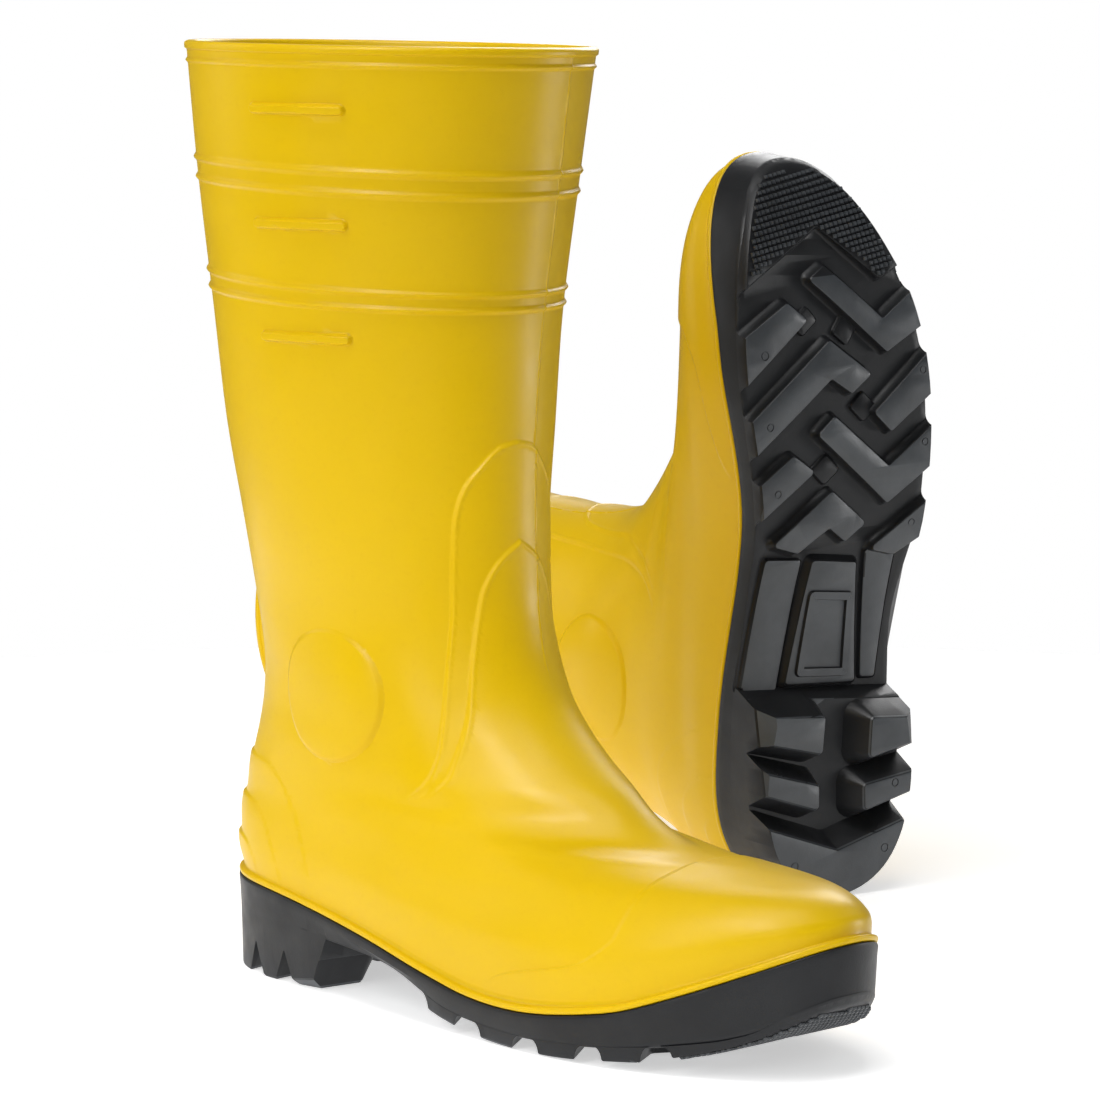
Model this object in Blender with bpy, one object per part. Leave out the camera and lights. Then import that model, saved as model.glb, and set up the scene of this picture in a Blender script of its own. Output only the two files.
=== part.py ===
"""A pair of knee-high moulded PVC deck boots with lugged safety soles.

The right boot stands on its sole.  The left boot is the same boot mirrored, lying
on its back behind it with the toe up.  Each boot is a yellow shell on a black
outsole cup, and inside the shell are a steel toe cap with its edge strip, a steel
midsole plate, a textile lining, a loose insole and a heel cushion.

Every boot is shaped in its own frame, in millimetres: +X to the toe, +Y to the
inner (medial) side of the right boot, +Z up, with x = 0 at the back of the heel
and z = 0 on the ground.
"""

import math

import bmesh
import bpy
import numpy as np
from mathutils import Matrix, Vector

MM = 0.001
GAP = 0.3                  # clearance left between neighbouring pieces
COLUMNS = 40               # points round one ring of the boot
SHELL_ROWS = 24            # rings up the outside of the shell
LINER_ROWS = 14            # rings up the inside of the shell and the lining

# How the pair stands: the middle of the rear heel block is the origin.
RIGHT_PLACE = (-20.0, 10.0)
LEFT_PLACE = (66.6, 244.3)
LEFT_YAW = -8.8            # degrees, about the vertical
LEFT_RISE = 3.3            # the lying shaft climbs this much towards its rim
LEFT_ROLL = -3.9           # about the shaft's own axis

# Sole outline: back and front ends, sideways shift of the toe, and half-widths
# every 30 degrees from heel to toe along the outer side, then the inner side.
SOLE_BACK, SOLE_FRONT, SOLE_TOE_SHIFT = 1.0, 309.0, 4.0
SOLE_OUTER = (74, 63, 50, 52, 60.5, 61, 66)
SOLE_INNER = (64, 45, 34.5, 48, 58)

# Heights along the foot, as (x, z): top of the sole's wall, floor inside the
# cup, underside of the sole between its lugs, and the tread surface itself.
WALL_TOP = ((0, 35.5), (50, 33.8), (80, 30.3), (114, 25.2), (147, 18.8), (170, 14.8), (198, 13.9),
            (227, 17.2), (245, 20.8), (257, 24.2), (281, 32.8), (301, 41.5), (310, 46))
CUP_FLOOR = ((0, 26), (60, 26), (100, 22.5), (145, 15.6), (170, 11.6), (200, 10.2), (227, 11.8),
             (257, 15.4), (281, 20.6), (301, 28.5), (310, 33))
UNDERSIDE = ((0, 20.5), (88, 20.3), (115, 16.8), (145, 11.4), (158, 8), (175, 6), (200, 5), (227, 6.2),
             (245, 7.8), (266, 10.8), (281, 14), (301, 22.5), (310, 27.5))
TREAD = ((0, 3.5), (6, 1.2), (12, 0), (40, 0), (138, 8), (149, 5.6), (164, 2.6), (183, 0.7), (198, 0.3),
         (214, 0.6), (227, 1.4), (240, 2.6), (254, 4), (266, 7), (278, 10.4), (294, 17.5), (308, 27))

WALL = 4.0                 # thickness of the cup wall that the shell stands in
SIDE_DRAFT = 2.0           # how far the sole's side runs in by its bottom edge
HEEL_PLATE = 11.0          # underside of the heel between its blocks
SHELL = 3.2                # thickness of the shell
LIP = 2.6                  # height of the shell's edge over the cup wall
LINING = 1.0
LINING_GAP = 0.8           # between the shell's curved wall and the lining
LINING_DROP = 0.28         # rings from the rim down to the lining's top edge
PLATE = 1.2                # steel midsole
CAP = 1.5                  # steel toe cap
CAP_GAP = 1.1              # kept round the cap on both sides
CAP_BACK = 242.0           # x of the toe cap's rear edge
STRIP = 5.5                # width of the strip behind the cap
INSOLE = 4.0
HEEL_CUSHION = 2.0

# Rings up the shell above its lip: back (x, z), front (x, z), how much of the
# wall top's dip is left, sideways shift at back and front, half-widths as above.
RINGS = (
    ((1.5, 47), (304, 56), 0.5, (0, 4), (70, 61, 48.6, 50, 58, 60, 64), (61, 44.5, 36, 47, 58)),
    ((2, 58), (292, 63.5), 0.2, (0, 4), (68, 59, 47.5, 46, 50, 50, 48), (59, 43.5, 35.5, 39, 46)),
    ((4, 70), (260, 67), 0.05, (0.5, 4), (64, 55, 46.5, 44, 43, 33, 27), (54, 43.5, 36, 33, 27)),
    ((7.5, 83), (227, 69), 0, (1, 4), (60, 53, 46, 42.5, 42, 31, 25), (50, 42.7, 35.5, 32, 25)),
    ((11, 95), (199, 81.5), 0, (1, 3), (56, 49, 45, 42, 42, 36, 32), (46, 41.5, 36, 32.5, 29)),
    ((14, 108), (173, 98), 0, (1, 2), (52, 46, 43, 41, 42, 41, 38), (43, 41, 37, 36, 35)),
    ((15.5, 124), (154.5, 117), 0, (0.5, 1), (48, 44, 42, 41.3, 42, 42, 41), (42, 41, 40.5, 40, 40)),
    ((11.5, 147), (145.5, 142), 0, (0.3, 0.3), (45, 44, 43, 42.6, 43, 44, 44), (44, 43, 42.6, 43, 44)),
    ((7.5, 178), (142, 177), 0, (0.5, 0.5), (49,) * 7, (49,) * 5),
    ((2, 212), (141.5, 212), 0, (1, 1), (54.6,) * 7, (54.6,) * 5),
    ((-0.5, 255.5), (142, 254.5), 0, (1, 1), (60.6,) * 7, (60.6,) * 5),
    ((-4.5, 304), (147.5, 302), 0, (1, 1), (67,) * 7, (67,) * 5),
    ((-8, 353), (154.5, 349), 0, (1, 1), (72,) * 7, (72,) * 5),
)

# Tread blocks, as corners (x, y).  The heel's front edge and its bars are skewed.
HEEL_BLOCKS = (
    ((23, 1.5), (30.5, -34.3), (17, -29.3), (6, -17.5), (2.5, 0), (6, 18), (18, 30.5), (39, 36.3)),
    ((48.5, -13), (50.8, -36.3), (43.2, -36.8), (37.5, -13)),
    ((52, 10.5), (63.5, 37.2), (54.5, 37.2), (41.5, 10.8)),
    ((80, -17.5), (76.2, -38.6), (66.3, -38.6), (60.8, -16)),
    ((83.7, 6.7), (88, 33), (77.4, 35), (65.8, 8.6)),
)
HEEL_OUTLINE = ((2, 0), (5.5, -18), (16.5, -30), (30, -35), (50, -38.3), (78, -40), (84, -17), (87, 8),
                (91.5, 34), (64, 39), (50, 39), (39, 37.2), (18, 31.2), (5.5, 18.5))
LUGS = (
    ((261, 9), (266, 0), (242, -27), (251.5, -41), (240, -44.5), (228, -28)),
    ((239, 40.5), (253, 21), (245, 11), (223, 40)),
    ((207, 38.5), (236, 1), (220, -20), (213, -9), (220, 1), (193, 37.5)),
    ((204, -20), (225, -48), (213, -50), (195, -29)),
    ((198, 9), (205, 0), (181, -28), (196, -50), (182, -50), (165, -28)),
    ((180, 36), (191, 21), (183, 10), (167, 33.5)),
    ((154, 30), (174, 1), (158, -18), (151, -8), (158, 1), (149, 16)),
    ((146, -21), (163.5, -48), (149, -46.5), (142, -35)),
    ((257, 40), (277, 33.5), (290, 26.5), (299, 19), (304, 9), (304.5, 2), (301, -9), (292, -19), (277, -28),
     (265, -35.5), (258, -27), (281, 0)),
)
SHANK = ((86, -19), (140, -18), (144, 8), (92, 22))
SHANK_DROP = 3.0           # the shank plate stands this far below the waist
SHANK_WINDOW = ((96, -15), (123, -14.5), (126, 4.5), (99, 6.5))
WINDOW_DEPTH = 1.5

YELLOW = (0.80, 0.56, 0.03, 1)
BLACK = (0.035, 0.037, 0.04, 1)
STEEL = (0.55, 0.56, 0.58, 1)
GREY = (0.62, 0.62, 0.60, 1)
CREAM = (0.78, 0.75, 0.66, 1)
STRIP_GREY = (0.16, 0.16, 0.17, 1)
CUSHION_YELLOW = (0.85, 0.72, 0.25, 1)


# ---------------------------------------------------------------- curves and rings

def curve(knots, values, at):
    """A smooth curve through the values at the knots, read at the given places."""
    knots = np.asarray(knots, float)
    values = np.asarray(values, float)
    slopes = np.gradient(values, knots, axis=0)
    at = np.clip(np.asarray(at, float), knots[0], knots[-1])
    i = np.clip(np.searchsorted(knots, at, side="right") - 1, 0, len(knots) - 2)
    span = knots[i + 1] - knots[i]
    t = (at - knots[i]) / span
    if values.ndim > 1:
        span, t = span[..., None], t[..., None]
    return ((2 * t**3 - 3 * t**2 + 1) * values[i] + (t**3 - 2 * t**2 + t) * span * slopes[i]
            + (3 * t**2 - 2 * t**3) * values[i + 1] + (t**3 - t**2) * span * slopes[i + 1])


def height(profile, x):
    """Height of one of the foot's profiles at x."""
    knots, values = zip(*profile)
    return curve(knots, values, x)


def smooth(t):
    t = np.clip(t, 0, 1)
    return t * t * (3 - 2 * t)


def angles(count=COLUMNS):
    """Angles round a ring: 0 at the heel, then the outer side, pi at the front."""
    return np.arange(count) * 2 * math.pi / count


def half_width(outer, inner, angle):
    """Half-width factor round a ring, from its values every 30 degrees."""
    round_trip = np.array(list(outer) + list(inner)[::-1], float)
    count = len(round_trip)
    padded = np.concatenate([round_trip[-2:], round_trip, round_trip[:3]])
    knots = np.arange(-2, count + 3) * 2 * math.pi / count
    return curve(knots, padded, np.mod(angle, 2 * math.pi))


def sole_ring(inset, angle):
    """Plan points (x, y) of the sole's outline, moved in by the inset."""
    v = (1 - np.cos(angle)) / 2
    x = SOLE_BACK + inset + (SOLE_FRONT - SOLE_BACK - 2 * inset) * v
    width = half_width(SOLE_OUTER, SOLE_INNER, angle) - inset
    return x, SOLE_TOE_SHIFT * smooth(v) - width * np.sin(angle)


def toe_room(x):
    """Room the lining gives up round the toe cap, rising over the ball of the foot."""
    return (CAP + 2 * CAP_GAP) * smooth((x - 206) / 20)


def sole_level(inset, profile, lift=0.0, inside_cap=False):
    """Ring on the sole's outline at the height of a profile plus a lift."""
    x, y = sole_ring(inset, angles())
    if inside_cap:
        x, y = sole_ring(inset + toe_room(x), angles())
    return np.stack([x, y, height(profile, x) + lift], -1)


def ring_table():
    """One row of shape values per key ring, the first being the top of the lip."""
    inset = 2.4
    first = [SOLE_BACK + inset, 38.5, SOLE_FRONT - inset, 47.5, 1.0, 0, SOLE_TOE_SHIFT]
    first += [w - inset for w in SOLE_OUTER] + [w - inset for w in SOLE_INNER[::-1]]
    rows = [first]
    for back, front, dip, shift, outer, inner in RINGS:
        rows.append([*back, *front, dip, *shift, *outer, *inner[::-1]])
    return np.array(rows, float)


TABLE = ring_table()
TOP = len(TABLE) - 1


def shell_point(u, angle):
    """Points on the outside of the shell: u runs from the lip (0) to the rim (TOP)."""
    u, angle = np.broadcast_arrays(np.asarray(u, float), np.asarray(angle, float))
    row = curve(np.arange(len(TABLE)), TABLE, u)
    v = (1 - np.cos(angle)) / 2
    x = row[..., 0] + (row[..., 2] - row[..., 0]) * v
    count = TABLE.shape[1] - 7
    place = np.mod(angle, 2 * math.pi) / (2 * math.pi) * count
    i = np.floor(place).astype(int)
    t = place - i
    w = [np.take_along_axis(row, (7 + (i + k) % count)[..., None], -1)[..., 0] for k in (-1, 0, 1, 2)]
    m0, m1 = (w[2] - w[0]) / 2, (w[3] - w[1]) / 2
    width = ((2 * t**3 - 3 * t**2 + 1) * w[1] + (t**3 - 2 * t**2 + t) * m0
             + (3 * t**2 - 2 * t**3) * w[2] + (t**3 - t**2) * m1)
    y = row[..., 5] + (row[..., 6] - row[..., 5]) * smooth(v) - width * np.sin(angle)
    level = 38.5 + 9 * (x - TABLE[0, 0]) / (TABLE[0, 2] - TABLE[0, 0])
    z = row[..., 1] + (row[..., 3] - row[..., 1]) * v
    z = z + row[..., 4] * (height(WALL_TOP, x) + 3.0 - level)
    return np.stack([x, y, z], -1)


def shell_offset(u, angle, inset):
    """Points on the shell moved in along its normal."""
    step = 0.02
    across = shell_point(u, angle + step) - shell_point(u, angle - step)
    low, high = np.clip(u - step, 0, TOP), np.clip(u + step, 0, TOP)
    upward = shell_point(high, angle) - shell_point(low, angle)
    normal = np.cross(across, upward)
    normal /= np.linalg.norm(normal, axis=-1, keepdims=True)
    return shell_point(u, angle) - normal * np.asarray(inset)[..., None]


def front_u(x):
    """The u whose ring has its front end at x, on the top of the foot."""
    us = np.linspace(0, 8, 801)
    fronts = shell_point(us, math.pi)[:, 0]
    return float(np.interp(-x, -fronts, us))


def arch(x, low, inset, count):
    """Points over the foot at one x, from the outer side's u = low to the inner side's."""
    top = front_u(x)
    s = np.linspace(0, 1, count)
    u = low + (top - low) * np.sin(math.pi * s)
    rings = curve(np.arange(len(TABLE)), TABLE, u)
    v = np.clip((x - rings[:, 0]) / (rings[:, 2] - rings[:, 0]), 0, 1)
    angle = np.arccos(1 - 2 * v)
    angle = np.where(s > 0.5, 2 * math.pi - angle, angle)
    return shell_offset(u, angle, np.full(count, float(inset)))


# ---------------------------------------------------------------- meshes

def material(name, colour, roughness, metallic=0.0):
    made = bpy.data.materials.new(name)
    made.use_nodes = True
    shader = made.node_tree.nodes["Principled BSDF"]
    shader.inputs["Base Color"].default_value = colour
    shader.inputs["Roughness"].default_value = roughness
    shader.inputs["Metallic"].default_value = metallic
    made.diffuse_color = colour
    return made


def cap_faces(start, count):
    """Faces that close a ring by joining its outer side to its inner side."""
    faces = [(start, start + 1, start + count - 1)]
    for j in range(1, count // 2 - 1):
        faces.append((start + j, start + j + 1, start + count - j - 1, start + count - j))
    half = count // 2
    faces.append((start + half - 1, start + half, start + half + 1))
    return faces


def loft(rings):
    """Vertices and faces of a closed body through a list of rings of equal count."""
    count = len(rings[0])
    faces = cap_faces(0, count)
    for k in range(len(rings) - 1):
        a, b = k * count, (k + 1) * count
        faces += [(a + j, a + (j + 1) % count, b + (j + 1) % count, b + j) for j in range(count)]
    faces += cap_faces((len(rings) - 1) * count, count)
    return np.concatenate(rings), faces


def body(verts, faces):
    """A bmesh of one closed body with its faces turned outwards."""
    bm = bmesh.new()
    made = [bm.verts.new(Vector(p)) for p in verts]
    for face in faces:
        bm.faces.new([made[i] for i in face])
    bmesh.ops.recalc_face_normals(bm, faces=bm.faces)
    return bm


def block(corners, top, bottom):
    """A tread block: a plan outline between two heights that follow the foot."""
    bm = bmesh.new()
    face = bm.faces.new([bm.verts.new((x, y, 0)) for x, y in corners])
    xs = [x for x, _ in corners]
    for cut in np.arange(math.ceil(min(xs) / 12) * 12, max(xs), 12):
        bmesh.ops.bisect_plane(bm, geom=bm.verts[:] + bm.edges[:] + bm.faces[:],
                               plane_co=(cut + 0.5, 0, 0), plane_no=(1, 0, 0))
    lower = bm.faces[:]
    raised = bmesh.ops.extrude_face_region(bm, geom=lower)
    upper = {v for v in raised["geom"] if isinstance(v, bmesh.types.BMVert)}
    for v in bm.verts:
        v.co.z = float(top(v.co.x) if v in upper else bottom(v.co.x))
    bmesh.ops.recalc_face_normals(bm, faces=bm.faces)
    return bm


def plain_object(name, bm):
    """A scene object in metres from a bmesh in millimetres."""
    bmesh.ops.scale(bm, vec=(MM, MM, MM), verts=bm.verts)
    mesh = bpy.data.meshes.new(name)
    bm.to_mesh(mesh)
    bm.free()
    made = bpy.data.objects.new(name, mesh)
    bpy.context.scene.collection.objects.link(made)
    return made


def combine(base, tools, operation):
    """The base after each tool is joined to it or cut from it."""
    for tool in tools:
        modifier = base.modifiers.new("combine", "BOOLEAN")
        modifier.operation = operation
        modifier.solver = "EXACT"
        modifier.object = tool
        graph = bpy.context.evaluated_depsgraph_get()
        mesh = bpy.data.meshes.new_from_object(base.evaluated_get(graph))
        base.modifiers.remove(modifier)
        old, base.data = base.data, mesh
        bpy.data.meshes.remove(old)
        bpy.data.objects.remove(tool)
    return base


def finish(made, name, look, mirrored, origin=(0, 0, 0)):
    """Names the piece, mirrors it for the left boot and puts its origin where asked."""
    made.name = made.data.name = name
    bm = bmesh.new()
    bm.from_mesh(made.data)
    bmesh.ops.remove_doubles(bm, verts=bm.verts, dist=1e-6)
    if mirrored:
        bmesh.ops.scale(bm, vec=(1, -1, 1), verts=bm.verts)
        bmesh.ops.reverse_faces(bm, faces=bm.faces)
    place = Vector((origin[0], origin[1] * (-1 if mirrored else 1), origin[2])) * MM
    bmesh.ops.translate(bm, vec=-place, verts=bm.verts)
    bm.to_mesh(made.data)
    bm.free()
    made.data.materials.clear()
    made.data.materials.append(look)
    made.location = place
    return made


# ---------------------------------------------------------------- the boot's pieces

def inner_rows():
    """The u of the rings down the shell's inside, which the lining shares."""
    shaft = np.linspace(TOP - LINING_DROP, 8, 7)[:-1]
    return np.concatenate([[TOP], shaft, np.linspace(8, 0.3, LINER_ROWS - 2)])


def upper_mesh():
    """The shell: an edge standing in the sole's cup, a lip over it, and the boot."""
    seat = WALL + GAP
    rings = [sole_level(seat, CUP_FLOOR, GAP), sole_level(seat, WALL_TOP, GAP),
             sole_level(0.4, WALL_TOP, GAP), sole_level(0.2, WALL_TOP, LIP - 0.6),
             sole_level(1.0, WALL_TOP, LIP)]
    rows = np.concatenate([np.linspace(0, 8, 16), np.linspace(8, TOP, SHELL_ROWS - 15)[1:]])
    rings += [shell_point(np.full(COLUMNS, u), angles()) for u in rows]
    rings += [shell_offset(np.full(COLUMNS, u), angles(), np.full(COLUMNS, SHELL)) for u in inner_rows()]
    foot = seat + SHELL
    rings += [sole_level(foot, WALL_TOP, 1.0), sole_level(foot, CUP_FLOOR, GAP + SHELL - 0.2)]
    return body(*loft(rings))


def outsole_base():
    """The sole's cup and underside, before its tread blocks."""
    rings = [sole_level(WALL, CUP_FLOOR), sole_level(WALL, WALL_TOP, -0.4), sole_level(WALL - 0.4, WALL_TOP),
             sole_level(0.5, WALL_TOP), sole_level(0, WALL_TOP, -1.2), sole_level(0.5, WALL_TOP, -3.5),
             sole_level(SIDE_DRAFT - 0.6, UNDERSIDE, 1.6), sole_level(SIDE_DRAFT + 0.4, UNDERSIDE)]
    return plain_object("outsole base", body(*loft(rings)))


def outsole():
    """The sole with its heel, lugs and shank plate."""
    def under(lift):
        return lambda x: height(UNDERSIDE, x) + lift

    def tread(x):
        return max(0.0, float(height(TREAD, x)))

    parts = [block(HEEL_OUTLINE, under(1.5), lambda x: HEEL_PLATE)]
    parts += [block(corners, lambda x: HEEL_PLATE + 1.5, lambda x: tread(x) if x < 20 else 0.0)
              for corners in HEEL_BLOCKS]
    parts += [block(corners, under(1.5), tread) for corners in LUGS]
    parts.append(block(SHANK, under(1.5), under(-SHANK_DROP)))
    made = combine(outsole_base(), [plain_object("tread block", part) for part in parts], "UNION")
    window = block(SHANK_WINDOW, under(WINDOW_DEPTH - SHANK_DROP), under(-SHANK_DROP - 2))
    return combine(made, [plain_object("window", window)], "DIFFERENCE")


def lining_inset(u, angle, extra):
    """The lining's distance inside the shell's outside: further in round the toe cap."""
    x = shell_point(u, angle)[..., 0]
    return SHELL + LINING_GAP + extra + toe_room(x)


def lining_mesh():
    """The textile sock that lines the boot from its footbed to just below the rim."""
    rows = inner_rows()[1:]
    outside = WALL + GAP + SHELL + LINING_GAP
    floor = GAP + SHELL - 0.2 + GAP + PLATE + GAP
    outer = [sole_level(outside, CUP_FLOOR, floor, True), sole_level(outside, WALL_TOP, 2.0, True)]
    full = np.ones(COLUMNS)
    for u in rows[::-1]:
        outer.append(shell_offset(full * u, angles(), lining_inset(full * u, angles(), 0)))
    inner = [shell_offset(full * u, angles(), lining_inset(full * u, angles(), LINING)) for u in rows]
    inner += [sole_level(outside + LINING + 0.2, WALL_TOP, 3.0, True),
              sole_level(outside + LINING + 0.2, CUP_FLOOR, floor + LINING, True)]
    return body(*loft(outer + inner))


def plate_mesh():
    """The steel midsole plate under the lining."""
    low = GAP + SHELL - 0.2 + GAP
    inset = WALL + GAP + SHELL + 1.0
    return body(*loft([sole_level(inset, CUP_FLOOR, low), sole_level(inset, CUP_FLOOR, low + PLATE)]))


def footbed_height():
    """Height of the lining's floor above the cup floor."""
    return GAP + SHELL - 0.2 + GAP + PLATE + GAP + LINING + GAP


def insole_mesh():
    """The loose foam insole on the lining, with a rounded top edge."""
    low, inset = footbed_height(), WALL + GAP + SHELL + LINING_GAP + LINING + 1.8
    edges = ((inset + 0.4, 0), (inset, 0.8), (inset, INSOLE - 1), (inset + 1, INSOLE))
    return body(*loft([sole_level(edge, CUP_FLOOR, low + lift, True) for edge, lift in edges]))


def cushion_mesh():
    """The oval cushion on the insole's heel."""
    ring = angles(24)
    x, y = 42 + 26 * -np.cos(ring), -22 * np.sin(ring)
    low = height(CUP_FLOOR, x) + footbed_height() + INSOLE + GAP
    levels = [np.stack([x, y, low], -1), np.stack([x, y, low + HEEL_CUSHION - 0.7], -1),
              np.stack([42 + (x - 42) * 0.92, y * 0.92, low + HEEL_CUSHION], -1)]
    return body(*loft(levels))


def arch_band(places, close_front, count=23):
    """A plate lying inside the shell over the toes, through arches at the given x."""
    low, start = 0.55, SHELL + CAP_GAP
    outer = [arch(x, low, start, count) for x in places]
    inner = [arch(x, low, start + CAP, count) for x in places]
    verts = np.concatenate(outer + inner)
    rows, shift = len(places), len(places) * count
    faces = []
    for k in range(rows - 1):
        for j in range(count - 1):
            a = k * count + j
            faces.append((a, a + 1, a + count + 1, a + count))
            faces.append((shift + a, shift + a + count, shift + a + count + 1, shift + a + 1))
        for j in (0, count - 1):
            a = k * count + j
            faces.append((a, a + count, shift + a + count, shift + a))
    for j in range(count - 1):
        faces.append((j, j + 1, shift + j + 1, shift + j))
    last = (rows - 1) * count
    if close_front:
        faces.append(tuple(last + j for j in range(count)))
        faces.append(tuple(shift + last + j for j in range(count)))
        faces.append((last, last + count - 1, shift + last + count - 1, shift + last))
    else:
        for j in range(count - 1):
            faces.append((last + j, last + j + 1, shift + last + j + 1, shift + last + j))
    return body(verts, faces)


def toe_cap_mesh():
    """The steel toe cap, open at the back and below."""
    return arch_band((CAP_BACK, 252, 262, 271, 279, 286, 292, 297, 301, 303.6, 304.6), True)


def strip_mesh():
    """The soft strip over the toe cap's rear edge."""
    return arch_band((CAP_BACK - GAP - STRIP, CAP_BACK - GAP - STRIP / 2, CAP_BACK - GAP), False)


def insole_hinge():
    """Where the insole turns as its heel end is lifted: under its toe end."""
    x = 292.0
    return x, 0.0, float(height(CUP_FLOOR, x)) + footbed_height()


def build_boot(side, mirrored, looks):
    """All the pieces of one boot, in the boot's own frame, under its shell."""
    pieces = {
        "upper": (plain_object("upper", upper_mesh()), (0, 0, 0)),
        "outsole": (outsole(), (0, 0, 0)),
        "toe_cap": (plain_object("toe_cap", toe_cap_mesh()), (0, 0, 0)),
        "cap_strip": (plain_object("cap_strip", strip_mesh()), (0, 0, 0)),
        "midsole_plate": (plain_object("midsole_plate", plate_mesh()), (0, 0, 0)),
        "lining": (plain_object("lining", lining_mesh()), (0, 0, 0)),
        "insole": (plain_object("insole", insole_mesh()), insole_hinge()),
        "heel_cushion": (plain_object("heel_cushion", cushion_mesh()), (0, 0, 0)),
    }
    boot = {}
    for name, (made, origin) in pieces.items():
        boot[name] = finish(made, side + "_" + name, looks[name], mirrored, origin)
    for name, made in boot.items():
        if name not in ("upper", "heel_cushion"):
            made.parent = boot["upper"]
    cushion, insole = boot["heel_cushion"], boot["insole"]
    cushion.parent = insole
    cushion.location = cushion.location - insole.location
    return boot


def lowest(boot):
    """Lowest point of a boot as placed."""
    bpy.context.view_layer.update()
    return min((made.matrix_world @ v.co).z for made in boot.values() for v in made.data.vertices)


def build():
    for old in list(bpy.data.objects):
        bpy.data.objects.remove(old, do_unlink=True)
    looks = {
        "upper": material("yellow_pvc", YELLOW, 0.3),
        "outsole": material("black_sole", BLACK, 0.5),
        "toe_cap": material("cap_steel", STEEL, 0.35, 1.0),
        "cap_strip": material("cap_strip_rubber", STRIP_GREY, 0.7),
        "midsole_plate": material("plate_steel", STEEL, 0.3, 1.0),
        "lining": material("lining_textile", CREAM, 0.95),
        "insole": material("insole_foam", GREY, 0.9),
        "heel_cushion": material("cushion_gel", CUSHION_YELLOW, 0.6),
    }
    right = build_boot("right", False, looks)
    right["upper"].location = Vector((*RIGHT_PLACE, 0)) * MM

    left = build_boot("left", True, looks)
    turn = (Matrix.Rotation(math.radians(LEFT_YAW), 4, "Z")
            @ Matrix.Rotation(math.radians(LEFT_RISE - 90), 4, "Y")
            @ Matrix.Rotation(math.radians(LEFT_ROLL), 4, "Z"))
    left["upper"].rotation_euler = turn.to_euler()
    left["upper"].location = Vector((*LEFT_PLACE, 0)) * MM
    left["upper"].location.z -= lowest(left)
    bpy.context.view_layer.update()


build()
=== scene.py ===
"""How the pair of knee-high PVC deck boots looks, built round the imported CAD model.

Lengths are in millimetres in a boot's own frame until a piece is placed: +X to the
toe, +Y to the inner side of the right boot, +Z up, x = 0 at the back of the heel.
The left boot is the right one mirrored, lying on its back.
"""

import math

import bmesh
import bpy
import numpy as np
from mathutils import Matrix, Vector


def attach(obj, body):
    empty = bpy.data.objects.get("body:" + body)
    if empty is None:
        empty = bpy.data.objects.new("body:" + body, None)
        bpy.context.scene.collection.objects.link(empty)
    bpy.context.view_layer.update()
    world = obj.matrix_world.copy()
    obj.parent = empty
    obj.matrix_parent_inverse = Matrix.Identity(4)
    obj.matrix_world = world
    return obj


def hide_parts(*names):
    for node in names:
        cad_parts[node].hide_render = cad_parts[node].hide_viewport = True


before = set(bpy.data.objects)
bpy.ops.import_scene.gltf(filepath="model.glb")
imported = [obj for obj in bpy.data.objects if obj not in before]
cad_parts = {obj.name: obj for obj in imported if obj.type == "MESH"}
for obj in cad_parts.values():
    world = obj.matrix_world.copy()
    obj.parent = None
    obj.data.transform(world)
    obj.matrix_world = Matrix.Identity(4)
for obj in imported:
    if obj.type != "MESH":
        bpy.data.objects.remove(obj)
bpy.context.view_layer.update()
MM = 0.001

# ---- where the boots stand

LEFT_TURN = (Matrix.Rotation(math.radians(-8.8), 3, "Z") @ Matrix.Rotation(math.radians(3.3 - 90), 3, "Y")
             @ Matrix.Rotation(math.radians(-3.9), 3, "Z"))
SIDES = {
    "right": (np.eye(3), np.array([-20.0, 10.0, 0.0])),
    "left": (np.array(LEFT_TURN) @ np.diag([1.0, -1.0, 1.0]), np.array([66.6, 244.3, -2.625])),
}

# ---- the shape of a boot

SOLE_BACK, SOLE_FRONT, SOLE_TOE_SHIFT = 1.0, 309.0, 4.0
SOLE_OUTER = (74, 63, 50, 52, 60.5, 61, 66)
SOLE_INNER = (64, 45, 34.5, 48, 58)
WALL_TOP = ((0, 35.5), (50, 33.8), (80, 30.3), (114, 25.2), (147, 18.8), (170, 14.8), (198, 13.9),
            (227, 17.2), (245, 20.8), (257, 25), (281, 34.6), (301, 43.7), (310, 48.2))
CUP_FLOOR = ((0, 26), (60, 26), (100, 22.5), (145, 15.6), (170, 11.6), (200, 10.2), (227, 11.8),
             (257, 15.4), (281, 20.6), (301, 28.5), (310, 33))
UNDERSIDE = ((0, 20.5), (88, 20.3), (115, 16.8), (145, 11.4), (158, 8), (175, 6), (200, 5), (227, 6.2),
             (245, 7.8), (266, 10.8), (281, 14), (301, 22.5), (310, 27.5))
TREAD = ((0, 3.5), (6, 1.2), (12, 0), (40, 0), (138, 8), (149, 5.6), (164, 2.6), (183, 0.7), (198, 0.3),
         (214, 0.6), (227, 1.4), (240, 2.6), (254, 4), (266, 7), (278, 10.4), (294, 17.5), (308, 27))
WALL, GAP, SHELL = 4.0, 0.3, 3.2
LIP = 2.6                  # how far the shell's lip stands over the sole's wall
LINING, LINING_GAP, PLATE, INSOLE, HEEL_CUSHION = 1.0, 0.8, 1.2, 4.0, 2.0
CAP_ROOM = 3.7             # the lining gives way this much round the steel toe cap
HEEL_PLATE = 12.2          # height of the plate between the heel's blocks

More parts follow.
